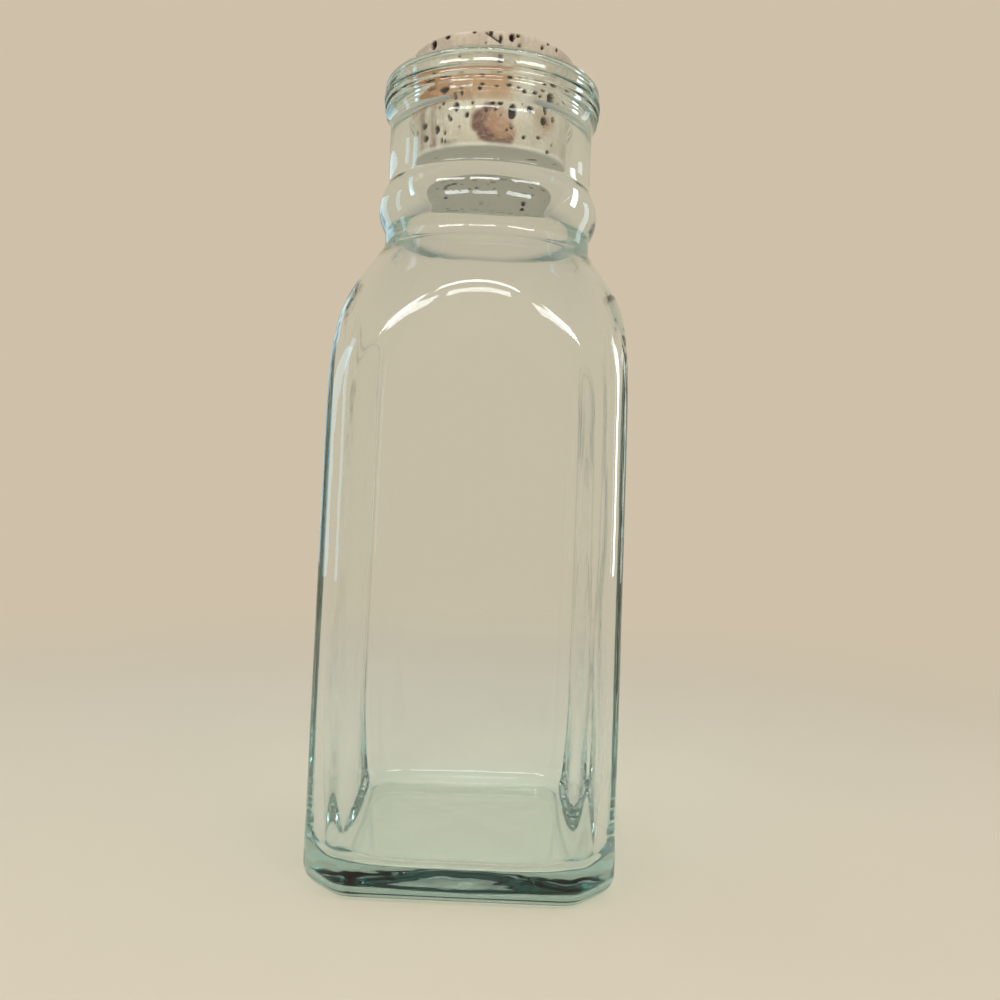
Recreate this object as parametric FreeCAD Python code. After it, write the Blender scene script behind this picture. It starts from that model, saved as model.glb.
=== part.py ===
import FreeCAD, Part
import math
import os

os.makedirs("parts", exist_ok=True)

# Square glass storage jar with a tapered cork stopper. Millimetres.
# The jar stands upright: +Z up, origin at the middle of its foot, flat faces square to X and Y.

# ---- cork: the neck is sized around it ----
cork_top_d = 44.0        # across the top of the stopper
cork_bottom_d = 40.6     # across its lower end, inside the neck
cork_length = 28.8
cork_proud = 6.3         # stands above the glass
cork_edge = 0.7          # worn rounding of both ends

# ---- neck and lip ----
cork_fit = 0.10          # radial clearance between the cork and its seat
seat_depth = 9.5         # length of the tapered seat below the top of the glass
bore_relief = 1.15       # the bore below the seat is this much wider, on the radius
relief_run = 2.5         # height over which it widens
bore_length = 33.0       # straight part of the mouth, from the top of the glass down
neck_wall = 4.8
neck_grip = 17.7         # plain neck between the collar and the lip
collar_height = 12.1     # rounded collar around the lower neck
collar_proud = 2.0
neck_foot = 4.6          # plain neck below the collar
foot_extra = 0.3         # that part is this much thicker, on the radius
lip_beads = [(2.4, 1.55, 0.55), (1.9, 1.65, 0.45), (3.0, 1.75, 0.40), (2.7, 0.10, 0.80)]
# each: height, how far its upper edge stands out from the neck, how far it bulges
lip_crown = 0.35         # rise of the rounded top of the glass
mouth_edge = 0.8         # rounding of the inner edge

# ---- body ----
base_width = 77.4        # across the flats, at the foot
shoulder_width = 74.8    # across the flats, where the shoulder springs
side_height = 103.0      # from the foot to where the shoulder springs
shoulder_arc = 90.0      # radius of the domed shoulder in section
shoulder_spare = 2.0     # the dome springs this far outside the cut corners
corner_leg = 10.0        # leg of the flat on each upright corner
corner_round = 8.0       # softening of the upright edges
heel_round = 5.2         # rounding at the foot
shoulder_blend = 14.0    # softening where the dome meets the flats
throat_round = 4.0       # hollow curve from shoulder to neck

# ---- inside of the glass ----
wall = 3.0
base_thick = 7.0
inner_corner_round = 10.0
inner_heel_round = 9.0
inner_shoulder_blend = 14.0
throat_inner_round = 6.0
punt_rise = 1.2          # shallow hollow under the base
punt_width = 52.0
punt_slope = 4.0         # run of its sloping rim

overrun = 2.0            # how far a cutting shape runs past what it cuts


def edge(points):
    """One edge through two points, or an arc through three, given as (radius, height)."""
    ends = [FreeCAD.Vector(r, 0, z) for r, z in points]
    if len(ends) == 2:
        return Part.LineSegment(*ends).toShape()
    return Part.Arc(*ends).toShape()


def turned(edges):
    """Solid of revolution about Z of a closed profile."""
    face = Part.Face(Part.Wire(edges))
    return face.revolve(FreeCAD.Vector(0, 0, 0), FreeCAD.Vector(0, 0, 1), 360)


def bulged(start, end, bulge):
    """Arc from start to end that stands out to the right of its chord by bulge."""
    run_r = end[0] - start[0]
    run_z = end[1] - start[1]
    span = math.hypot(run_r, run_z)
    middle = ((start[0] + end[0]) / 2 + bulge * run_z / span, (start[1] + end[1]) / 2 - bulge * run_r / span)
    return edge([start, middle, end])


def lined(points):
    """Straight edges from each point to the next."""
    return [edge([a, b]) for a, b in zip(points, points[1:])]


def outline(half, leg, z):
    """Closed octagon: a square of half width half whose corners are cut by leg."""
    near = half - leg
    ring = [(half, -near), (half, near), (near, half), (-near, half)]
    ring += [(-x, -y) for x, y in ring]
    return Part.makePolygon([FreeCAD.Vector(x, y, z) for x, y in ring + ring[:1]])


def half_width(z):
    """Half the width across the flats at height z, on the line through foot and spring."""
    return (base_width + (shoulder_width - base_width) * z / side_height) / 2


def at_height(solid, z, reach=0.01):
    """The edges of a solid that lie level at height z."""
    found = []
    for e in solid.Edges:
        box = e.BoundBox
        if abs(box.ZMin - z) < reach and abs(box.ZMax - z) < reach:
            found.append(e)
    return found


def prism(inset, leg, low, high, rounding, heel):
    """Cornered prism that follows the draft of the sides, its upright edges and its heel rounded."""
    rings = [outline(half_width(z) - inset, leg, z) for z in (low, high)]
    solid = Part.makeLoft(rings, True, True)
    uprights = [e for e in solid.Edges if abs(e.Vertexes[0].Z - e.Vertexes[1].Z) > (high - low) / 2]
    solid = solid.makeFillet(rounding, uprights)
    return solid.makeFillet(heel, at_height(solid, low))


def shoulder_edges(solid, throat_z):
    """The crease where the domed shoulder cuts the upright faces."""
    found = []
    for e in solid.Edges:
        box = e.BoundBox
        level = box.ZLength < 1e-4
        upright = max(box.XLength, box.YLength) < 0.5
        if box.ZMin > side_height - overrun and box.ZMax < throat_z - 0.5 and not level and not upright:
            found.append(e)
    return found


# ---- levels worked out from the sizes above ----
cork_slope = (cork_top_d - cork_bottom_d) / 2 / cork_length
corner_reach = math.hypot(half_width(side_height), half_width(side_height) - corner_leg)
shoulder_reach = corner_reach + shoulder_spare


def cork_radius(below_top):
    """Radius of the stopper at a distance below its top."""
    return cork_top_d / 2 - cork_slope * below_top


seat_low_r = cork_radius(cork_proud + seat_depth) + cork_fit
bore_r = seat_low_r + bore_relief
neck_r = bore_r + neck_wall
foot_r = neck_r + foot_extra
arc_middle_r = shoulder_reach - shoulder_arc
neck_base_z = side_height + math.sqrt(shoulder_arc**2 - (foot_r - arc_middle_r)**2)
collar_z = neck_base_z + neck_foot
grip_z = collar_z + collar_height
lip_z = grip_z + neck_grip
top_z = lip_z + sum(bead[0] for bead in lip_beads)


def dome(inset, end_r):
    """Shoulder arc, set in by inset, from its spring up to radius end_r."""
    radius = shoulder_arc - inset
    full = math.acos((end_r - arc_middle_r) / radius)
    points = []
    for share in (0.0, 0.5, 1.0):
        angle = full * share
        points.append((arc_middle_r + radius * math.cos(angle), side_height + radius * math.sin(angle)))
    return points


def outer_turned():
    """Everything about the axis: a wide drum, the dome, the neck with its collar and the lip."""
    arc = dome(0, foot_r)
    profile = lined([(0, -overrun), (shoulder_reach, -overrun), arc[0]])
    profile.append(edge(arc))
    profile += lined([arc[2], (foot_r, collar_z)])
    profile.append(bulged((foot_r, collar_z), (neck_r, grip_z), collar_proud))
    profile += lined([(neck_r, grip_z), (neck_r, lip_z)])
    place = (neck_r, lip_z)
    for height, stand, bulge in lip_beads:
        upper = (neck_r + stand, place[1] + height)
        profile.append(bulged(place, upper, bulge))
        place = upper
    mouth = (cork_radius(cork_proud) + cork_fit - mouth_edge, top_z)
    profile.append(bulged(place, mouth, lip_crown))
    profile += lined([mouth, (0, top_z), (0, -overrun)])
    return turned(profile)


def inner_turned():
    """The space about the axis: the tapered seat, the bore, its flare and the inside of the dome."""
    seat_top_r = cork_radius(cork_proud - overrun) + cork_fit
    arc = dome(wall, foot_r - wall)
    profile = lined([(0, 0), (arc[0][0], 0), arc[0]])
    profile.append(edge(arc))
    profile += lined([
        arc[2],
        (bore_r, top_z - bore_length),
        (bore_r, top_z - seat_depth - relief_run),
        (seat_low_r, top_z - seat_depth),
        (seat_top_r, top_z + overrun),
        (0, top_z + overrun),
        (0, 0),
    ])
    return turned(profile), arc[2][1]


def punt():
    """Shallow plate-shaped hollow under the base, with a sloping rim, so that the jar stands on its edge."""
    half = punt_width / 2
    slope_r = punt_slope * overrun / punt_rise
    profile = lined([
        (0, -overrun),
        (half + slope_r, -overrun),
        (half - punt_slope, punt_rise),
        (0, punt_rise),
        (0, -overrun),
    ])
    return turned(profile)


def glass_jar():
    """The jar: outside shape less the space inside it and the hollow under the base."""
    outside = prism(0, corner_leg, 0, top_z + overrun, corner_round, heel_round).common(outer_turned())
    outside = outside.makeFillet(shoulder_blend, shoulder_edges(outside, neck_base_z))
    outside = outside.makeFillet(throat_round, at_height(outside, neck_base_z))
    inner_leg = corner_leg - wall * (2 - math.sqrt(2))
    inside = prism(wall, inner_leg, base_thick, top_z + 2 * overrun, inner_corner_round, inner_heel_round)
    space, throat_z = inner_turned()
    inside = inside.common(space)
    inside = inside.makeFillet(inner_shoulder_blend, shoulder_edges(inside, throat_z))
    inside = inside.makeFillet(throat_inner_round, at_height(inside, throat_z))
    return outside.cut(inside).cut(punt())


def cork():
    """The stopper: a plain taper with worn edges, seated in the mouth."""
    high = top_z + cork_proud
    low = high - cork_length
    solid = Part.makeCone(cork_bottom_d / 2, cork_top_d / 2, cork_length, FreeCAD.Vector(0, 0, low))
    return solid.makeFillet(cork_edge, at_height(solid, low) + at_height(solid, high))


for name, solid in (("glass_jar", glass_jar()), ("cork", cork())):
    print(name, len(solid.Solids), "solid, valid", solid.isValid(), "and", round(solid.Volume / 1000, 2), "cm3")
    solid.exportStep("parts/" + name + ".step")
print("glass height", round(top_z, 2))
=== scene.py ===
import bpy
import math
import numpy as np
from mathutils import Matrix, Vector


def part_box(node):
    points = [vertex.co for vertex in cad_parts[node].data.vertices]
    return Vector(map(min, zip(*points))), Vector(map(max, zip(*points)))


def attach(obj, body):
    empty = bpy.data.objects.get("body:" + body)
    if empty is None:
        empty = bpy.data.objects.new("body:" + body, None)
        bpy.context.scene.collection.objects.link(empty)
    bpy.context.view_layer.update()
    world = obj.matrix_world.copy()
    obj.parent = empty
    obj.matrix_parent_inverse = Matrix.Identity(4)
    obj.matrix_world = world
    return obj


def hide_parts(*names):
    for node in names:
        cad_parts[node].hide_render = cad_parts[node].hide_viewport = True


# Square glass storage jar with a cork stopper, dressed over its CAD frame.
# The scene is in metres; the sizes in the settings of the jar and of the cork are in millimetres.

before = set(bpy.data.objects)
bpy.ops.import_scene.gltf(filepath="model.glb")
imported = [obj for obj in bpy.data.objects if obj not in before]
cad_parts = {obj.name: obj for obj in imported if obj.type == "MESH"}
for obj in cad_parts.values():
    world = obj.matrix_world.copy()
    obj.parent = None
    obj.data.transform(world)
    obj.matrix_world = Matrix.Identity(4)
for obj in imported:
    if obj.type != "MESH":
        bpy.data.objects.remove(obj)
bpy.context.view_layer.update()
mm = 0.001
seed = 7
fullTurn = 2 * math.pi
print("frame loaded:", sorted(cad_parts))


# helpers for objects
def addObject(name, data):
    obj = bpy.data.objects.new(name, data)
    bpy.context.scene.collection.objects.link(obj)
    return obj


def aimed(right, up, ahead, place):
    # Matrix that sets a camera or a lamp at place, looking ahead.
    rows = [[right[i], up[i], -ahead[i], place[i]] for i in range(3)]
    return Matrix(rows + [[0, 0, 0, 1]])


# camera first: level with the middle of the jar, close in front, turned a little about its own axis
cameraSettings = {
    "place": (0.00835, -0.25039, 0.09909),
    "pitch": -0.94,           # degrees, looking down a little
    "yaw": -0.46,             # degrees, towards -X
    "roll": 2.31,             # degrees
    "lens": 33.05,
    "sensor": 36.0,
    "clip": (0.01, 20.0),
}


def makeCamera(s):
    # The view direction comes from yaw and pitch, and right is level. Right and up are then both turned by
    # roll about the view direction.
    pitch, yaw, roll = (math.radians(s[k]) for k in ("pitch", "yaw", "roll"))
    ahead = np.array([math.sin(yaw) * math.cos(pitch), math.cos(yaw) * math.cos(pitch), math.sin(pitch)])
    level = np.array([math.cos(yaw), -math.sin(yaw), 0.0])
    above = np.cross(level, ahead)
    right = level * math.cos(roll) + above * math.sin(roll)
    up = -level * math.sin(roll) + above * math.cos(roll)
    data = bpy.data.cameras.new("camera")
    data.lens, data.sensor_width = s["lens"], s["sensor"]
    data.clip_start, data.clip_end = s["clip"]
    cam = addObject("camera", data)
    cam.matrix_world = aimed(right, up, ahead, s["place"])
    bpy.context.scene.camera = cam


makeCamera(cameraSettings)
print("camera placed")


# helpers for meshes
def lathedMesh(name, points):
    # Closed skin over a grid of points, rows from one pole to the other, columns once round the axis.
    # Each pole is the mean of the first or the last row, and a fan of triangles joins it to that row.
    rows, cols = points.shape[:2]
    verts = np.concatenate([points[:1].mean(axis=1), points.reshape(-1, 3), points[-1:].mean(axis=1)])
    i, j = np.meshgrid(np.arange(rows - 1), np.arange(cols), indexing="ij")
    here, beside = 1 + i * cols + j, 1 + i * cols + (j + 1) % cols
    quads = np.stack([here, beside, beside + cols, here + cols], axis=-1).reshape(-1, 4)
    k = np.arange(cols)
    last = len(verts) - 1
    ring = 1 + (rows - 1) * cols
    lowFan = np.stack([np.zeros_like(k), 1 + (k + 1) % cols, 1 + k], axis=-1)
    highFan = np.stack([np.full_like(k, last), ring + k, ring + (k + 1) % cols], axis=-1)
    loops = np.concatenate([lowFan.ravel(), quads.ravel(), highFan.ravel()])
    sizes = np.concatenate([np.full(cols, 3), np.full(len(quads), 4), np.full(cols, 3)])
    mesh = bpy.data.meshes.new(name)
    mesh.vertices.add(len(verts))
    mesh.vertices.foreach_set("co", verts.astype(np.float32).ravel())
    mesh.loops.add(len(loops))
    mesh.loops.foreach_set("vertex_index", loops.astype(np.int32))
    mesh.polygons.add(len(sizes))
    mesh.polygons.foreach_set("loop_start", (np.cumsum(sizes) - sizes).astype(np.int32))
    mesh.polygons.foreach_set("use_smooth", np.ones(len(sizes), bool))
    mesh.update(calc_edges=True)
    mesh.validate()
    return addObject(name, mesh)


def stretch(*columns):
    # Some rows of a grid as a table: each column is an array, or one number that holds for all these rows.
    return np.stack(np.broadcast_arrays(*columns), axis=-1)


def addField(obj, name, grid):
    # One number per point of the skin, kept as an attribute; a pole takes the mean of its row.
    values = np.concatenate([[grid[0].mean()], grid.ravel(), [grid[-1].mean()]]).astype(np.float32)
    obj.data.attributes.new(name, "FLOAT", "POINT").data.foreach_set("value", values)


def smoothStep(x):
    # 0 below 0, 1 above 1, and 3x^2 - 2x^3 between.
    x = np.clip(x, 0.0, 1.0)
    return x * x * (3.0 - 2.0 * x)


def band(x, low, high, lowRun, highRun):
    # 0 below low and above high, and 1 between: it rises smoothly over lowRun and falls over highRun.
    return smoothStep((x - low) / lowRun) * smoothStep((high - x) / highRun)


def hump(x, middle, width, power=2):
    # 1 at the middle, falling away on both sides: e to the power of minus (distance / width) ^ power.
    return np.exp(-((x - middle) / width) ** power)


def softProfile(corners, step=0.08, passes=420):
    # Line through corners (radius, height, bulge, softness). A bulge bows the run to the next corner by that
    # much to its right, as a parabola. Each point is then moved again and again towards the mean of its two
    # neighbours, by a share that grows with the square of the softness, so that corners round as if melted.
    pieces, soft = [], []
    for (r0, z0, bow, s0), (r1, z1, _, s1) in zip(corners, corners[1:]):
        span = math.hypot(r1 - r0, z1 - z0)
        t = np.linspace(0.0, 1.0, max(3, int(round(span / step))) + 1)[:-1]
        lift = 4.0 * bow * t * (1.0 - t)
        r = r0 + (r1 - r0) * t + lift * (z1 - z0) / span
        z = z0 + (z1 - z0) * t - lift * (r1 - r0) / span
        pieces.append(np.stack([r, z], axis=-1))
        soft.append(s0 + (s1 - s0) * t)
    line = np.concatenate(pieces + [[corners[-1][:2]]])
    softness = np.concatenate(soft + [[corners[-1][3]]])
    share = np.minimum(0.5, (softness / step) ** 2 / (2.0 * passes))
    for _ in range(passes):
        line[1:-1] += share[1:-1, None] * ((line[:-2] + line[2:]) / 2.0 - line[1:-1]) * 2.0
    return line


def respaced(line, count, least, busy, turnWeight=5.0, turnLimit=1.2, window=9):
    # count points along the line, set closer where their density is higher. It is the least density, plus
    # turnWeight times the line's turning (a mean over window points, held below turnLimit), plus busy(height)
    # for more points where another form crosses the line.
    along = np.concatenate([[0.0], np.cumsum(np.hypot(*np.diff(line, axis=0).T))])
    heading = np.unwrap(np.arctan2(np.gradient(line[:, 1], along), np.gradient(line[:, 0], along)))
    turning = np.abs(np.gradient(heading, along))
    turning = np.convolve(turning, np.ones(window) / window, mode="same")
    density = least + turnWeight * np.minimum(turning, turnLimit) + busy(line[:, 1])
    total = np.concatenate([[0.0], np.cumsum((density[1:] + density[:-1]) / 2.0 * np.diff(along))])
    at = np.interp(np.linspace(0.0, total[-1], count), total, along)
    return np.stack([np.interp(at, along, line[:, 0]), np.interp(at, along, line[:, 1])], axis=-1)


# helpers for materials
class Nodes:
    # Short way to add and join the shader nodes of one material or of the world.

    def __init__(self, owner, end="OutputMaterial"):
        owner.use_nodes = True
        self.owner = owner
        self.tree = owner.node_tree
        self.tree.nodes.clear()
        self.out = self.add(end)

    def add(self, kind, settings=None, **inputs):
        # An input is named as its socket, with _ for a space, or i and its number where names repeat.
        node = self.tree.nodes.new("ShaderNode" + kind)
        for key, value in (settings or {}).items():
            setattr(node, key, value)
        for key, value in inputs.items():
            numbered = key[0] == "i" and key[1:].isdigit()
            self.put(node.inputs[int(key[1:]) if numbered else key.replace("_", " ")], value)
        return node

    def put(self, socket, value):
        if isinstance(value, bpy.types.NodeSocket):
            self.tree.links.new(value, socket)
        elif isinstance(value, bpy.types.Node):
            self.tree.links.new(value.outputs[0], socket)
        else:
            socket.default_value = value

    def mix(self, share, a, b):
        # Colour a, going over to b as share goes from 0 to 1.
        node = self.add("Mix", {"data_type": "RGBA", "blend_type": "MIX"})
        for place, value in ((0, share), (6, a), (7, b)):
            self.put(node.inputs[place], value)
        return node.outputs[2]

    def math(self, operation, a, b=0.0):
        return self.add("Math", {"operation": operation}, i0=a, i1=b).outputs[0]

    def ramp(self, value, low, high, a=0.0, b=1.0):
        # a where value is at low, b where it is at high, and smooth between.
        settings = {"interpolation_type": "SMOOTHSTEP"}
        return self.add("MapRange", settings, i0=value, i1=low, i2=high, i3=a, i4=b).outputs[0]

    def noise(self, where, scale, detail=3.0, rough=0.5, twist=0.0):
        inputs = {"Vector": where, "Scale": scale, "Detail": detail, "Roughness": rough, "Distortion": twist}
        return self.add("TexNoise", **inputs).outputs[0]


def rgb(red, green, blue):
    # A colour given on a screen's 0-255 scale, as linear light.
    shares = [c / 255.0 for c in (red, green, blue)]
    linear = [c / 12.92 if c <= 0.04045 else ((c + 0.055) / 1.055) ** 2.4 for c in shares]
    return (*linear, 1.0)


# the jar
jarSettings = {
    "columns": 264,
    "crowding": 0.5,          # how much closer the columns stand at the upright corners
    "outerRows": 188,
    "innerRows": 118,
    "domeRows": 40,
    "heelRows": 14,
    "footRows": 22,           # under the base
    "floorRows": 13,          # on the inside's floor
    "innermost": 0.02,        # size of the smallest row of these two, as a share of the largest
    "outerLeast": 0.30,       # least density of the rows
    "innerLeast": 0.24,
    "creaseRows": 0.65,       # added to it where the dome crosses the flats
    "creaseBand": (96.0, 170.0, 8.0, 6.0),    # lower and upper height, and the run at each of them
    "baseWidth": 77.2,        # across the flats, at the foot and at the shoulder
    "shoulderWidth": 74.7,
    "sideHeight": 103.0,
    "cornerLeg": 10.0,
    "heel": 5.2,
    "drum": 48.36,            # radius where the dome springs, just outside the corners
    "domeRadius": 90.0,
    "domeCentre": -41.64,
    "footRadius": 27.42,      # neck below the collar
    "neckRadius": 27.12,
    "neckMiddle": 185.0,      # a height on its plain part
    "collar": (165.3, 177.4, 2.0),    # lower and upper height, and how far it bulges
    "lipHeight": 195.12,
    # lip, from the neck up: stand from the neck, height above its foot, bulge of the next run, softness
    "lip": [
        (0.0, -0.2, 0.0, 0.70),
        (0.85, 1.05, 0.0, 0.18),
        (1.34, 1.50, 0.05, 0.14),     # lower narrow bead
        (1.26, 2.45, 0.0, 0.10),
        (0.96, 2.66, 0.0, 0.08),      # groove
        (1.12, 2.84, 0.0, 0.08),
        (1.68, 3.10, 0.05, 0.14),     # upper narrow bead
        (1.58, 4.20, 0.0, 0.12),
        (1.20, 4.46, 0.0, 0.08),      # groove
        (1.34, 4.66, 0.0, 0.08),
        (1.92, 4.92, 0.04, 0.14),     # flat band, leaning in a little
        (1.76, 6.95, 0.0, 0.12),
        (1.36, 7.22, 0.85, 0.10),     # rounded crown
        (0.10, 10.0, 0.30, 0.25),
    ],
    "wall": 3.0,
    "baseThick": 7.0,
    "innerHeel": 5.5,
    "boreRadius": 22.32,
    "boreMiddle": 182.0,
    "boreFoot": 172.1,
    "seatLow": (21.17, 195.62),       # radius and height of the cork's seat
    "seatTop": (21.73, 205.1),
    "mouthEdge": 0.1,         # its upper edge leans back this much
    "mouthRun": 0.5,          # from this far down
    "reliefRun": 2.5,         # height over which the bore widens below the seat
    # softness of the corners along the profile
    "soft": {"plain": 0.3, "throat": 1.45, "neckFoot": 0.9, "collar": 0.42, "mouth": 0.25, "seatTop": 0.2,
             "seatLow": 0.35, "relief": 0.5, "boreFoot": 1.0, "innerThroat": 1.6, "innerDome": 0.5},
    "punt": 0.5,              # rise of the hollow under the base
    "puntRound": 33.0,        # the hollow is round in the middle, this wide, and square at the foot
    "floorRise": 0.5,         # crown of the inside's floor
    "floorWave": 0.1,
    "sharpOutside": 50.0,
    "sharpInside": (12.0, 30.0),      # at the base and up the walls: rounder low down
    "sharpRise": (8.0, 40.0),         # the height where it starts to sharpen, and the run over which it does
    "waveInside": 0.24,       # unevenness of the pressed glass
    "waveOutside": 0.05,
    "waveBand": (6.0, 168.0, 34.0, 25.0),     # as creaseBand
    "waves": 9,
    "waveTurns": (1, 8),      # how often one repeats round the jar, from the first to below the second
    "waveLengths": (45.0, 160.0),
    "waveWeights": (0.4, 1.0),
}


def softSection(angle, half, cut, drum, sharp):
    # Radius of a square of half width half with cut corners (|x| + |y| = cut), inside a circle of radius
    # drum: the power mean 1 / (sum of (1 / r_i) ^ sharp) ^ (1 / sharp) of the radii r_i to the walls, so that
    # all edges run soft.
    c, s = np.abs(np.cos(angle)), np.abs(np.sin(angle))
    reach = (c / half) ** sharp + (s / half) ** sharp + ((c + s) / cut) ** sharp + (1.0 / drum) ** sharp
    return reach ** (-1.0 / sharp)


def ripple(s, angle, height, rng):
    # Slow unevenness between -1 and 1: a sum of sines that run round the jar and along it, each with its own
    # phase and weight, divided by its largest size.
    total = np.zeros(np.broadcast(angle, height).shape)
    for _ in range(s["waves"]):
        turns, length = rng.integers(*s["waveTurns"]), rng.uniform(*s["waveLengths"])
        weight = rng.uniform(*s["waveWeights"])
        turnPhase = rng.uniform(0, 6.28)
        risePhase = rng.uniform(0, 6.28)
        total += weight * np.sin(turns * angle + turnPhase) * np.sin(fullTurn * height / length + risePhase)
    return total / np.abs(total).max()


def domeArc(s, inset):
    # Points (radius, height) up the domed shoulder, set in by inset: a circle's arc from spring to neck.
    size = s["domeRadius"] - inset
    end = math.acos((s["footRadius"] - inset - s["domeCentre"]) / size)
    turns = np.linspace(0.0, end, s["domeRows"])
    return [(s["domeCentre"] + size * math.cos(a), s["sideHeight"] + size * math.sin(a)) for a in turns]


def jarProfile(s):
    # The turned form as one soft line: up the outside, over the lip, and down the bore and the inner dome.
    soft = s["soft"]
    foot, neck, bore = s["footRadius"], s["neckRadius"], s["boreRadius"]
    collarLow, collarHigh, collarBow = s["collar"]
    (topRadius, topHeight), (lowRadius, lowHeight) = s["seatTop"], s["seatLow"]
    outside, inside = domeArc(s, 0.0), domeArc(s, s["wall"])
    throat = outside[-1][1]
    corners = [(s["drum"], s["heel"], 0.0, soft["plain"])]
    corners += [(r, z, 0.0, soft["plain"]) for r, z in outside[:-1]]
    corners += [
        (foot, throat, 0.0, soft["throat"]),
        (foot, (throat + collarLow) / 2, 0.0, soft["neckFoot"]),
        (foot, collarLow, collarBow, soft["collar"]),
        (neck, collarHigh, 0.0, soft["collar"]),
        (neck, s["neckMiddle"], 0.0, soft["plain"]),
    ]
    corners += [(neck + stand, s["lipHeight"] + up, bow, softness) for stand, up, bow, softness in s["lip"]]
    corners += [
        (topRadius + s["mouthEdge"], topHeight + s["mouthEdge"], 0.0, soft["mouth"]),
        (topRadius, topHeight - s["mouthRun"], 0.0, soft["seatTop"]),
        (lowRadius, lowHeight, 0.0, soft["seatLow"]),
        (bore, lowHeight - s["reliefRun"], 0.0, soft["relief"]),
        (bore, s["boreMiddle"], 0.0, soft["plain"]),
        (bore, s["boreFoot"], 0.0, soft["boreFoot"]),
        (*inside[-1], 0.0, soft["innerThroat"]),
    ]
    corners += [(r, z, 0.0, soft["innerDome"]) for r, z in inside[-2::-1]]
    corners += [(s["drum"] - s["wall"], s["baseThick"] + s["innerHeel"], 0.0, soft["plain"])]
    return softProfile(corners)


def jarRows(s):
    # All rows of the grid, from the middle of the foot to the middle of the inside's floor. For each: radius
    # of the turned form, height, inset from the walls, share of the walls' outline, and 1 inside, else 0.
    line = jarProfile(s)
    top = int(np.argmax(line[:, 1]))
    busy = lambda height: s["creaseRows"] * band(height, *s["creaseBand"])
    outer = respaced(line[:top + 1], s["outerRows"], s["outerLeast"], busy)
    inner = respaced(line[top:], s["innerRows"], s["innerLeast"], busy)[1:]

    # each heel is a quarter turn, set in from the walls
    a = np.linspace(0.0, math.pi / 2, s["heelRows"])
    inward, upward = 1 - np.sin(a), 1 - np.cos(a)
    heel = s["heel"] * inward[:-1], s["heel"] * upward[:-1]
    inHeel = s["innerHeel"] * inward[-2::-1], s["baseThick"] + s["innerHeel"] * upward[-2::-1]

    # each base goes out from its middle to the walls' outline; the foot's radius is puntRound times
    # share (1 - share^2), plus share^3 of the outline's own
    share = np.linspace(s["innermost"], 1.0, s["footRows"] + 1)[:-1]
    puntRadius = s["puntRound"] * share * (1.0 - share ** 2) / (1.0 - share ** 3)
    floorShare = np.linspace(1.0, s["innermost"], s["floorRows"] + 1)[1:]

    rows = np.concatenate([
        stretch(puntRadius, s["punt"] * (1.0 - share ** 2) ** 2, s["heel"], share ** 3, 0),
        stretch(s["drum"], heel[1], heel[0], 1, 0),
        stretch(outer[:, 0], outer[:, 1], 0, 1, 0),
        stretch(inner[:, 0], inner[:, 1], s["wall"], 1, 1),
        stretch(s["drum"] - s["wall"], inHeel[1], inHeel[0] + s["wall"], 1, 1),
        stretch(0, s["baseThick"], s["wall"] + s["innerHeel"], floorShare, 1),
    ])
    return rows.T[:, :, None]


def makeJar(s):
    # Each row's radius goes from its turned form to the soft square section by its share of the outline. The
    # ripple is added to the inside and takes a little off the outside.
    rng = np.random.default_rng(seed)
    rho, height, inset, portion, within = jarRows(s)
    inside = within == 1
    u = np.arange(s["columns"])[None, :] * fullTurn / s["columns"]
    angle = u + s["crowding"] / 4.0 * np.sin(4.0 * u)
    half = (s["baseWidth"] + (s["shoulderWidth"] - s["baseWidth"]) * height / s["sideHeight"]) / 2.0
    cut = 2.0 * half - s["cornerLeg"] - math.sqrt(2.0) * inset
    lowSharp, highSharp = s["sharpInside"]
    sharpFrom, sharpRun = s["sharpRise"]
    sharp = lowSharp + (highSharp - lowSharp) * smoothStep((height - sharpFrom) / sharpRun)
    sharp = np.where(inside, sharp, s["sharpOutside"])
    drum = np.where(portion < 1, s["drum"], rho)
    radius = (1.0 - portion) * rho + portion * softSection(angle, half - inset, cut, drum, sharp)
    body = band(height, *s["waveBand"])
    swell = ripple(s, angle, height, rng)
    inWave = s["waveInside"] * body * swell * portion
    outWave = -s["waveOutside"] * body * (1 + swell) / 2
    radius += np.where(inside, inWave, outWave)
    floor = inside & (height < s["baseThick"] + 0.01)
    crown = s["floorRise"] * (1 - portion ** 2) ** 2
    floorWave = s["floorWave"] * swell * smoothStep(portion) * smoothStep(4.0 - 4.0 * portion)
    z = np.where(floor, height + crown + floorWave, height)
    turn = angle - math.pi / 2
    points = np.stack([radius * np.cos(turn), radius * np.sin(turn), z], axis=-1) * mm
    return lathedMesh("jarGlass", points)


jar = makeJar(jarSettings)
print("jar glass:", len(jar.data.polygons), "faces")


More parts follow.
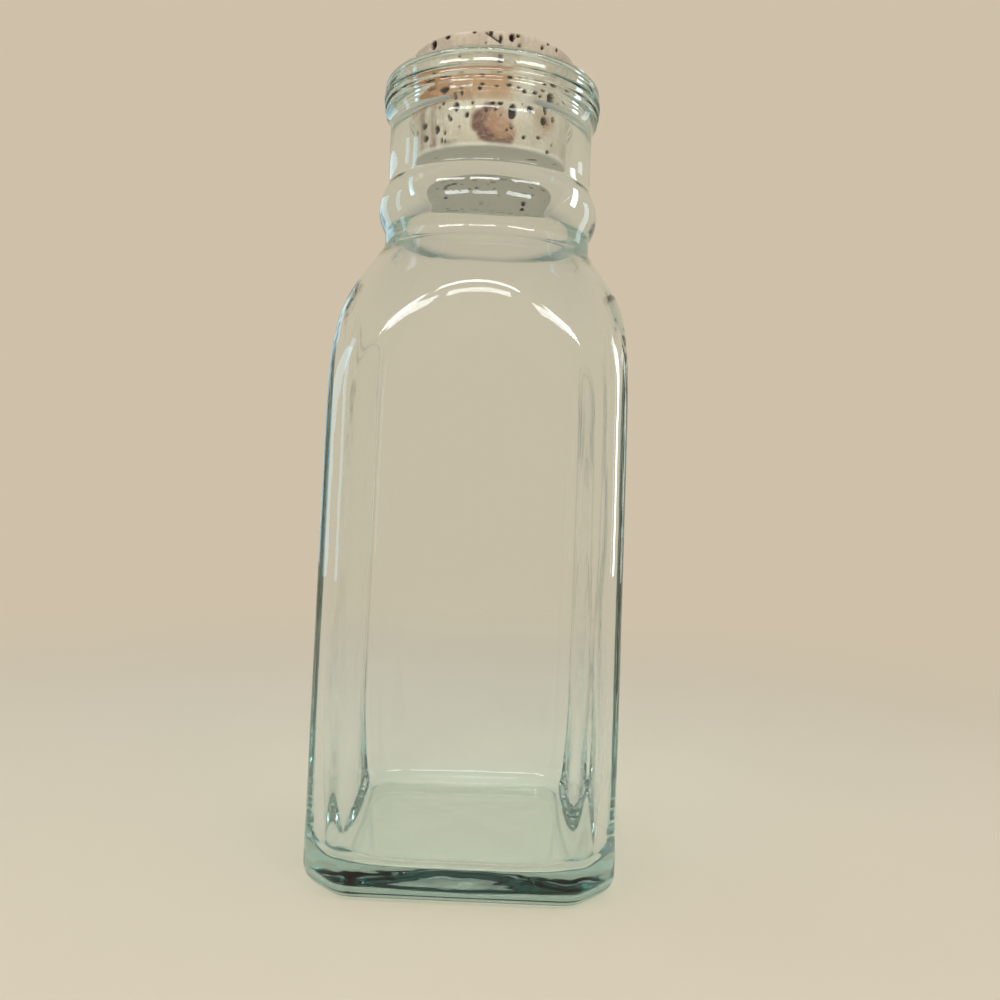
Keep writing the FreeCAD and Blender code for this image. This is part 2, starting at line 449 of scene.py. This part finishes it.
# the cork
corkSettings = {
    "columns": 440,
    "bottomRows": 42,
    "sideRows": 98,
    "topRows": 56,
    "edgeRows": 4,
    "innermost": 0.6,         # radius of the smallest row on each end
    "topRadius": 22.0,
    "bottomRadius": 20.3,
    "edge": 0.9,
    "length": 28.8,
    "roughness": 0.10,        # depth of the skin's unevenness
    "grainWaves": 26,
    "grainTurns": (3, 70),    # how often one repeats round the cork, from the first to below the second
    "grainRates": (0.3, 3.2),     # and its radians per millimetre along it
    "pitEdge": 0.45,          # depth at which a pit is fully dark
    "smallPits": 150,         # spread over the side
    "endPits": 70,            # and over each end
    # of each kind: the least value, and how much more the greatest has
    "pitSize": (0.22, 0.55),
    "pitDepth": (0.3, 0.9),
    "pitTall": (0.8, 1.2),
    "pitHeight": (0.6, 27.6),
    "endPitSize": (0.25, 0.75),
    "endPitDepth": (0.3, 0.8),
    "endPitLong": (0.7, 1.0),
    "endPitRim": 1.5,         # how far in from the rim the outermost of them has its middle
    # past this angle from the front, small pits above this share are this much wider and this much taller
    "bigPits": (75.0, 0.8, 1.5, 1.4),
    # large pits on the front: angle from the front in degrees, height above the cork's lower end, half width,
    # half height, depth
    "pits": [
        (-43, 27.1, 1.1, 1.2, 1.4), (-31, 28.0, 0.8, 0.6, 0.9), (-12, 28.2, 0.5, 0.4, 0.6),
        (13, 27.2, 0.7, 1.0, 1.2), (17, 27.9, 0.5, 0.5, 0.8), (35, 26.6, 0.5, 0.5, 0.7),
        (40, 28.1, 0.5, 0.4, 0.6), (48, 27.9, 0.5, 0.9, 0.9), (-30, 14.8, 1.2, 1.4, 1.6),
        (-22, 9.9, 0.7, 1.2, 1.0), (-37, 5.0, 0.8, 1.1, 0.9), (-49, 6.8, 1.1, 0.8, 0.9),
        (-48, 3.6, 1.1, 0.8, 0.9), (-49, 12.6, 1.1, 0.8, 0.9), (15, 8.9, 1.0, 1.9, 1.5),
        (27, 10.2, 0.9, 0.9, 1.1), (41, 14.6, 1.1, 2.3, 1.7), (39, 11.6, 0.6, 1.8, 1.2),
        (53, 15.6, 0.8, 1.4, 1.3), (46, 9.4, 0.6, 0.8, 0.9), (38, 8.2, 0.9, 1.1, 1.0),
        (35, 3.9, 0.7, 0.4, 0.6), (24, 3.1, 0.5, 0.5, 0.6), (-33, 2.2, 0.3, 0.9, 0.6),
        (2, 10.6, 0.6, 0.5, 0.7), (7, 10.7, 0.7, 0.5, 0.7), (-18, 13.2, 0.4, 0.4, 0.6),
        (22, 14.6, 0.6, 0.9, 0.9), (29, 15.0, 0.7, 0.8, 0.8), (12, 16.4, 0.6, 0.7, 0.8),
        (15, 5.0, 0.5, 0.4, 0.6), (12, 4.3, 0.4, 0.3, 0.5), (-14, 15.6, 0.4, 0.5, 0.6),
        (-5, 16.0, 0.5, 0.6, 0.7), (4, 15.4, 0.4, 0.4, 0.6), (18, 15.8, 0.5, 0.5, 0.7),
        (33, 14.0, 0.5, 0.6, 0.7), (35, 16.8, 0.6, 0.6, 0.8), (47, 13.2, 0.4, 0.6, 0.7),
        (-38, 16.4, 0.6, 0.4, 0.7),
    ],
    "crack": ((-4, 27.9), (6, 25.6), 0.28, 0.5),      # from, to, half width, depth
    "knot": (3.5, 5.4, 14.5, 5.3),                    # angle, height, half width in degrees, half height
    # streaks: middle and width in degrees, strength
    "frontStreaks": [(-38.0, 4.5, 1.0), (-50.0, 5.0, 0.8)],
    "frontStreakTop": (14.5, 4.0),                    # these two end at this height, over this run
    "lowStreak": (-38.0, 14.0, 0.9),
    "lowStreakTop": (2.6, 1.2),
    "backStreak": (150.0, 7.0, 0.8),
    "sideStreak": (-118.0, 5.0, 0.6),
    "sideStreakFoot": (8.0, 6.0),                     # it starts at this height, over this run
    # stains: middle and width in degrees, strength
    "stains": [(-52.0, 32.0, 1.0), (-2.0, 18.0, 0.72)],
    "stainBand": (10.6, 20.5, 2.2, 3.0),              # lower and upper height, and the run at each of them
    "stainSpot": (38.0, 7.4, 7.0, 2.2, 0.6),          # angle, height, width in degrees and upwards, strength
    "paleEnd": (1.6, 1.4),                            # the lower end is pale up to this height, over this run
}


def addPit(depth, near, deep, where, power=0.6):
    # Deepen depth to deep (1 - near) ^ power, where near is the squared distance over the pit's half sizes.
    return np.maximum(depth, where * deep * np.clip(1.0 - near, 0.0, 1.0) ** power)


def sidePits(s, depth, angle, height, onSide, rng):
    # The listed pits of the front, then small ones all round at random, each an oval on the side.
    marks = [(math.radians(a), z, w, h, d) for a, z, w, h, d in s["pits"]]
    (least, more), (shallow, deeper) = s["pitSize"], s["pitDepth"]
    (squat, slender), (lowest, above) = s["pitTall"], s["pitHeight"]
    front, rare, wider, taller = s["bigPits"]
    for a, b, c, d, e in rng.uniform(0.0, 1.0, (s["smallPits"], 5)):
        size = least + more * c ** 3
        at = (a - 0.5) * fullTurn
        big = math.radians(front) < abs(at) and d > rare
        halfWidth = size * (wider if big else 1.0)
        halfHeight = size * (squat + slender * d) * (taller if big else 1.0)
        marks.append((at, lowest + above * b, halfWidth, halfHeight, shallow + deeper * c * e))
    radiusAt = s["bottomRadius"] + (s["topRadius"] - s["bottomRadius"]) * height / s["length"]
    for a, z, w, h, d in marks:
        off = (angle - a + math.pi) % fullTurn - math.pi
        near = (off * radiusAt / w) ** 2 + ((height - z) / h) ** 2
        depth = addPit(depth, near, d, onSide)
    return depth


def crackLine(s, depth, angle, height, onSide):
    # A crack along a straight line on the side: as deep as 1 - (gap / half width) ^ 2, where the gap is the
    # distance to the nearest point of that line.
    mmPerDegree = 0.38    # round the side
    (a0, z0), (a1, z1), wide, deep = s["crack"]
    x, y = np.degrees(angle) * mmPerDegree, height
    ax, ay, bx, by = a0 * mmPerDegree, z0, a1 * mmPerDegree, z1
    t = np.clip(((x - ax) * (bx - ax) + (y - ay) * (by - ay)) / ((bx - ax) ** 2 + (by - ay) ** 2), 0.0, 1.0)
    gap = np.hypot(x - ax - t * (bx - ax), y - ay - t * (by - ay))
    return addPit(depth, (gap / wide) ** 2, deep, onSide, power=1.0)


def endPits(s, depth, angle, height, inward, rng):
    # Small pits at random over the lower end and then the upper one, each an oval in x and y.
    (least, more), (shallow, deeper), (short, longer) = s["endPitSize"], s["endPitDepth"], s["endPitLong"]
    upperHalf, lowerHalf = height > s["length"] / 2, height < s["length"] / 2
    for half, r in ((lowerHalf, s["bottomRadius"]), (upperHalf, s["topRadius"])):
        onEnd = (inward > 0.05) & half
        px, py = (r - inward) * np.cos(angle), (r - inward) * np.sin(angle)
        for a, b, c, d, e in rng.uniform(0.0, 1.0, (s["endPits"], 5)):
            at, out = a * fullTurn, (r - s["endPitRim"]) * math.sqrt(b)
            size = least + more * c ** 3
            offX, offY = px - out * math.cos(at), py - out * math.sin(at)
            near = (offX / size) ** 2 + (offY / (size * (short + longer * d))) ** 2
            depth = addPit(depth, near, shallow + deeper * e * c, onEnd)
    return depth


def corkGrain(s, angle, height, inward, rng):
    # Fine unevenness of the skin, from 0 to roughness: a sum of sines round and along, bent a little.
    grain = np.zeros(angle.shape)
    for _ in range(s["grainWaves"]):
        turns, rate = int(rng.integers(*s["grainTurns"])), rng.uniform(*s["grainRates"])
        turnPhase = rng.uniform(0, 6.28)
        risePhase = rng.uniform(0, 6.28)
        around = np.sin(turns * angle + turnPhase + 1.5 * np.sin(rate * 0.4 * height))
        grain += around * np.sin(rate * (height + inward) + risePhase)
    return s["roughness"] * (0.5 + 0.5 * grain / np.abs(grain).max())


def addMarks(s, obj, angle, height, onSide):
    # Knot with its dark crescent, streaks and stains, as soft ovals and bands in angle and height. The knot
    # is a leaning oval with a wavy rim. The crescent is what a second oval, to its upper right, leaves of it.
    deg = angle * 180.0 / math.pi
    knotAngle, knotHeight, knotWide, knotTall = s["knot"]
    x, y = (deg - knotAngle) / knotWide, (height - knotHeight) / knotTall
    around = np.arctan2(y, x)
    wobble = 0.05 * np.sin(3 * around + 1.0) + 0.035 * np.sin(5 * around + 2.4) + 0.02 * np.sin(9 * around)
    oval = np.hypot(x + 0.16 * y, y) + wobble
    holeX = (deg - knotAngle - 6.0) / (knotWide * 0.92)
    holeY = (height - knotHeight - 1.2) / (knotTall * 0.95)
    hole = np.hypot(holeX, holeY)
    upperRight = smoothStep((x + y) / 1.5)
    addField(obj, "knot", onSide * smoothStep((1.12 - oval) / 0.30) * (1.0 - 0.4 * upperRight))
    addField(obj, "crescent", onSide * smoothStep((1.10 - oval) / 0.24) * smoothStep((hole - 0.64) / 0.40))

    top, run = s["frontStreakTop"]
    front = [strength * hump(deg, middle, width) for middle, width, strength in s["frontStreaks"]]
    streak = np.max(front, axis=0) * smoothStep((top - height) / run)
    middle, width, strength = s["lowStreak"]
    top, run = s["lowStreakTop"]
    streak = np.maximum(streak, strength * smoothStep((top - height) / run) * hump(deg, middle, width, 4))
    middle, width, strength = s["backStreak"]
    back = strength * hump(deg, middle, width)
    middle, width, strength = s["sideStreak"]
    foot, run = s["sideStreakFoot"]
    streak += back + strength * hump(deg, middle, width) * smoothStep((height - foot) / run)
    addField(obj, "streak", onSide * streak)

    spread = sum(strength * hump(deg, middle, width, 4) for middle, width, strength in s["stains"])
    stain = band(height, *s["stainBand"]) * spread
    spotAngle, spotHeight, spotWide, spotTall, strength = s["stainSpot"]
    stain += strength * np.exp(-((deg - spotAngle) / spotWide) ** 2 - ((height - spotHeight) / spotTall) ** 2)
    addField(obj, "stain", onSide * stain)


def makeCork(s):
    # A taper with rounded edges. Its side goes in by the depth of the pits and the grain, and its two ends go
    # in along the axis, less so near their middle.
    rng = np.random.default_rng(seed + 1)
    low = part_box("cork")[0].z / mm
    r0, r1, edge, length = s["bottomRadius"], s["topRadius"], s["edge"], s["length"]
    q = np.linspace(0.0, math.pi / 2, s["edgeRows"] + 2)[1:-1]
    side = np.linspace(0.0, 1.0, s["sideRows"])
    inLow = np.linspace(s["innermost"], r0 - edge, s["bottomRows"])
    inTop = np.linspace(r1 - edge, s["innermost"], s["topRows"])
    stretches = [     # radius, height, and -1 for the lower end, 0 for the side, 1 for the upper end
        (inLow, 0.0, -1.0),
        (r0 - edge + edge * np.sin(q), edge - edge * np.cos(q), 0.0),
        (r0 + (r1 - r0) * side, edge + (length - 2 * edge) * side, 0.0),
        (r1 - edge + edge * np.cos(q), length - edge + edge * np.sin(q), 0.0),
        (inTop, length, 1.0),
    ]
    rows = np.concatenate([stretch(*columns) for columns in stretches]).T[:, :, None]
    angle = np.arange(s["columns"])[None, :] * fullTurn / s["columns"] - math.pi
    radius, height, kind, angle = np.broadcast_arrays(*rows, angle)
    onSide = kind == 0
    inward = np.where(onSide, 0.0, r0 + (r1 - r0) * height / length - radius)
    depth = sidePits(s, np.zeros(angle.shape), angle, height, onSide, rng)
    depth = crackLine(s, depth, angle, height, onSide)
    depth = endPits(s, depth, angle, height, inward, rng)
    drop = depth + corkGrain(s, angle, height, inward, rng)
    nearAxis = smoothStep(radius / 3.0)
    outR = radius - np.where(onSide, drop, 0.0)
    outZ = height - kind * drop * nearAxis
    points = np.stack([outR * np.sin(angle), -outR * np.cos(angle), outZ + low], axis=-1) * mm
    obj = lathedMesh("corkStopper", points)
    addField(obj, "pit", smoothStep(depth / s["pitEdge"]))
    addMarks(s, obj, angle, height, onSide)
    top, run = s["paleEnd"]
    addField(obj, "paleEnd", (kind < 1) * smoothStep((top - height) / run))
    return obj


cork = makeCork(corkSettings)
print("cork:", len(cork.data.polygons), "faces")


# materials
glassSettings = {
    "base": (0.975, 0.99, 0.995, 1.0),
    "ior": 1.5,
    "tint": (0.32, 0.62, 0.60, 1.0),          # what the thickness of the glass takes out of the light
    "density": 16.0,
    "bump": 0.06,
    "smudge": 0.05,                           # roughness of the faint smudges
    "fineRough": 0.006,
    "shadowFacing": (0.87, 0.91, 0.91, 1.0),  # what it lets through to the floor, face on and at its edges
    "shadowEdge": (0.30, 0.42, 0.42, 1.0),
}


def glassMaterial(s):
    n = Nodes(bpy.data.materials.new("aquaGlass"))
    where = n.add("TexCoord").outputs["Object"]
    slow = n.noise(where, 55.0, 2.0, 0.5, 0.4)
    fine = n.noise(where, 420.0, 2.0, 0.5)
    bump = n.add("Bump", Strength=s["bump"], Distance=0.002, Height=slow)
    smudge = n.ramp(n.noise(where, 34.0, 5.0, 0.65, 0.8), 0.55, 0.80, 0.0, s["smudge"])
    rough = n.math("ADD", smudge, n.math("MULTIPLY", fine, s["fineRough"]))
    glass = n.add("BsdfPrincipled", Roughness=rough, Normal=bump)
    glass.inputs["Base Color"].default_value = s["base"]
    glass.inputs["IOR"].default_value = s["ior"]
    glass.inputs["Transmission Weight"].default_value = 1.0
    facing = n.add("LayerWeight", Blend=0.4).outputs["Facing"]
    pale = n.mix(n.ramp(facing, 0.35, 1.0), s["shadowFacing"], s["shadowEdge"])
    clear = n.add("BsdfTransparent", Color=pale)
    shadow = n.add("LightPath").outputs["Is Shadow Ray"]
    body = n.add("VolumeAbsorption")
    body.inputs["Color"].default_value = s["tint"]
    body.inputs["Density"].default_value = s["density"]
    n.put(n.out.inputs["Surface"], n.add("MixShader", i0=shadow, i1=glass, i2=clear))
    n.put(n.out.inputs["Volume"], body)
    return n.owner


corkColours = {
    "dark": rgb(190, 172, 148),
    "light": rgb(214, 199, 177),
    "grain": rgb(164, 132, 104),
    "crumb": rgb(236, 225, 210),
    "cell": rgb(140, 98, 72),
    "stain": rgb(164, 98, 20),
    "streak": rgb(112, 70, 56),
    "knot": rgb(160, 104, 64),
    "crescent": rgb(84, 44, 42),
    "paleEnd": rgb(240, 231, 216),
    "pit": rgb(34, 22, 18),
}


def corkMaterial(c):
    n = Nodes(bpy.data.materials.new("oldCork"))
    where = n.add("TexCoord").outputs["Object"]
    field = lambda name: n.add("Attribute", {"attribute_name": name}).outputs["Fac"]
    broad = n.noise(where, 130.0, 4.0, 0.6, 0.3)
    crumb = n.noise(where, 900.0, 5.0, 0.7)
    cells = n.add("TexVoronoi", {"feature": "F1"}, Vector=where, Scale=620.0).outputs["Distance"]
    stretched = n.add("Mapping", Vector=where, Scale=(1.0, 1.0, 0.22)).outputs[0]
    grain = n.noise(stretched, 480.0, 4.0, 0.65, 0.5)
    colour = n.mix(n.ramp(broad, 0.30, 0.70), c["dark"], c["light"])
    colour = n.mix(n.ramp(grain, 0.45, 0.75, 0.0, 0.42), colour, c["grain"])
    colour = n.mix(n.ramp(crumb, 0.50, 0.80, 0.0, 0.55), colour, c["crumb"])
    colour = n.mix(n.ramp(cells, 0.10, 0.0, 0.0, 0.35), colour, c["cell"])

    # the marks, broken up by noise
    stain = n.math("MULTIPLY", field("stain"), n.ramp(n.noise(where, 210.0, 4.0, 0.6, 0.6), 0.20, 0.50))
    colour = n.mix(n.math("MULTIPLY", stain, 0.97), colour, c["stain"])
    streak = n.math("MULTIPLY", field("streak"), n.ramp(n.noise(stretched, 300.0, 3.0, 0.6), 0.30, 0.62))
    colour = n.mix(n.math("MULTIPLY", streak, 0.88), colour, c["streak"])
    swirl = n.noise(where, 260.0, 5.0, 0.65, 2.2)
    knot = n.math("MULTIPLY", field("knot"), n.ramp(swirl, 0.30, 0.58, 0.45, 0.85))
    colour = n.mix(knot, colour, c["knot"])
    crescent = n.math("MULTIPLY", field("crescent"), n.ramp(swirl, 0.34, 0.62, 0.50, 0.90))
    colour = n.mix(crescent, colour, c["crescent"])
    colour = n.mix(n.math("MULTIPLY", field("paleEnd"), 0.75), colour, c["paleEnd"])
    colour = n.mix(field("pit"), colour, c["pit"])

    height = n.math("ADD", n.math("MULTIPLY", crumb, 0.6), n.math("MULTIPLY", grain, 0.4))
    bump = n.add("Bump", Strength=0.55, Distance=0.0006, Height=height)
    skin = n.add("BsdfPrincipled", Normal=bump, Roughness=n.ramp(crumb, 0.2, 0.8, 0.72, 0.95))
    n.put(skin.inputs["Base Color"], colour)
    n.put(n.out.inputs["Surface"], skin)
    return n.owner


jar.data.materials.append(glassMaterial(glassSettings))
cork.data.materials.append(corkMaterial(corkColours))
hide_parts("glass_jar")
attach(jar, "root")
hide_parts("cork")
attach(cork, "root")
print("materials and frame ties done")


# plain pale stage and soft light
stageSettings = {
    "tone": rgb(207, 193, 169),       # the backdrop, as it shows
    "floor": rgb(224, 209, 184),
    "mottle": 0.985,                  # the floor's darker patches, as a share of its colour
    "floorRadius": 6,
    "floorCorners": 96,
    "floorHeight": -0.00012,          # a hair below the foot
    "fade": (0.14, 0.50),             # where the floor melts into the backdrop, in metres from the jar
    "ceiling": rgb(150, 146, 138),    # what glass shows of the room overhead
    "ceilingFrom": (0.50, 0.86),      # sine of the height angle where it begins and is full
    "ambient": (0.93, 0.96, 1.0, 1.0),
    "ambientStrength": 0.60,
    "aim": (0.0, 0.0, 0.11),          # what the lamps point at
    # name, place, size across and up, watts, colour, and whether it shows through the glass
    "lamps": [
        ("topLeft", (-0.52, -0.62, 0.67), (0.46, 0.10), 1.9, (0.97, 0.99, 1.0), True),
        ("topFront", (-0.05, -0.80, 0.70), (0.44, 0.09), 2.1, (0.97, 0.99, 1.0), True),
        ("topRight", (0.52, -0.60, 0.67), (0.46, 0.10), 1.8, (0.97, 0.99, 1.0), True),
        ("leftWindow", (-0.86, 0.20, 0.20), (0.10, 0.60), 0.45, (0.34, 0.76, 1.0), True),
        ("leftSky", (-0.60, 0.70, 0.20), (0.46, 0.60), 1.1, (0.30, 0.70, 1.0), False),    # glints along edges
        ("rightWindow", (0.72, 0.46, 0.22), (0.16, 0.50), 0.55, (0.70, 0.90, 1.0), True),
    ],
    "bounces": 24,                    # light runs far along the walls of thick glass
    "transparentBounces": 16,
}


def seenShare(n):
    # 1 for a ray that the eye follows, straight or through and off glass, and 0 for one that carries light.
    ways = n.add("LightPath").outputs
    straight = n.math("MAXIMUM", ways["Is Camera Ray"], ways["Is Glossy Ray"])
    return n.math("MAXIMUM", straight, ways["Is Transmission Ray"])


def makeFloor(s):
    # A wide flat disc, matt near the jar and glowing in the backdrop's tone further out.
    n = Nodes(bpy.data.materials.new("paleFloor"))
    where = n.add("TexCoord").outputs["Object"]
    far = n.add("VectorMath", {"operation": "LENGTH"}, i0=where).outputs["Value"]
    darker = tuple(c * s["mottle"] for c in s["floor"][:3]) + (1.0,)
    mottle = n.mix(n.ramp(n.noise(where, 9.0, 4.0), 0.3, 0.7), s["floor"], darker)
    matt = n.add("BsdfDiffuse", Color=mottle)
    glow = n.add("Emission", Color=s["tone"], Strength=1.0)
    share = n.math("MULTIPLY", n.ramp(far, *s["fade"]), seenShare(n))
    n.put(n.out.inputs["Surface"], n.add("MixShader", i0=share, i1=matt, i2=glow))
    turns = np.linspace(0, fullTurn, s["floorCorners"] + 1)[:-1]
    reach, height = s["floorRadius"], s["floorHeight"]
    ring = [(reach * math.cos(a), reach * math.sin(a), height) for a in turns]
    mesh = bpy.data.meshes.new("floor")
    mesh.from_pydata(ring, [], [list(range(len(ring)))])
    mesh.materials.append(n.owner)
    floor = addObject("floor", mesh)


def makeRoom(s):
    # The world: its tone and a greyer ceiling where it is seen, and a plain even light everywhere else.
    world = bpy.data.worlds.new("softRoom")
    bpy.context.scene.world = world
    n = Nodes(world, "OutputWorld")
    rise = n.add("SeparateXYZ", Vector=n.add("TexCoord").outputs["Generated"]).outputs["Z"]
    bent = n.math("SUBTRACT", 1.0, n.add("LightPath").outputs["Is Camera Ray"])
    room = n.mix(n.math("MULTIPLY", n.ramp(rise, *s["ceilingFrom"]), bent), s["tone"], s["ceiling"])
    shown = n.add("Background", Color=room, Strength=1.0)
    light = n.add("Background", Color=s["ambient"], Strength=s["ambientStrength"])
    n.put(n.out.inputs["Surface"], n.add("MixShader", i0=seenShare(n), i1=light, i2=shown))


def makeLamps(s):
    # Flat lamps, each turned to the aim with its width level.
    for name, place, (wide, tall), watts, tint, throughGlass in s["lamps"]:
        data = bpy.data.lights.new(name, "AREA")
        data.shape, data.size, data.size_y = "RECTANGLE", wide, tall
        data.energy, data.color = watts, tint
        lamp = addObject(name, data)
        ahead = np.array(s["aim"]) - np.array(place)
        ahead /= np.linalg.norm(ahead)
        across = np.cross(ahead, [0.0, 0.0, 1.0])
        across /= np.linalg.norm(across)
        lamp.matrix_world = aimed(across, np.cross(across, ahead), ahead, place)
        lamp.visible_camera = False
        lamp.visible_transmission = throughGlass


makeFloor(stageSettings)
makeRoom(stageSettings)
makeLamps(stageSettings)
bpy.context.scene.view_settings.view_transform = "Standard"
cycles = bpy.context.scene.cycles
cycles.max_bounces = stageSettings["bounces"]
cycles.transmission_bounces = stageSettings["bounces"]
cycles.glossy_bounces = stageSettings["bounces"]
cycles.transparent_max_bounces = stageSettings["transparentBounces"]
print("stage and lamps placed")
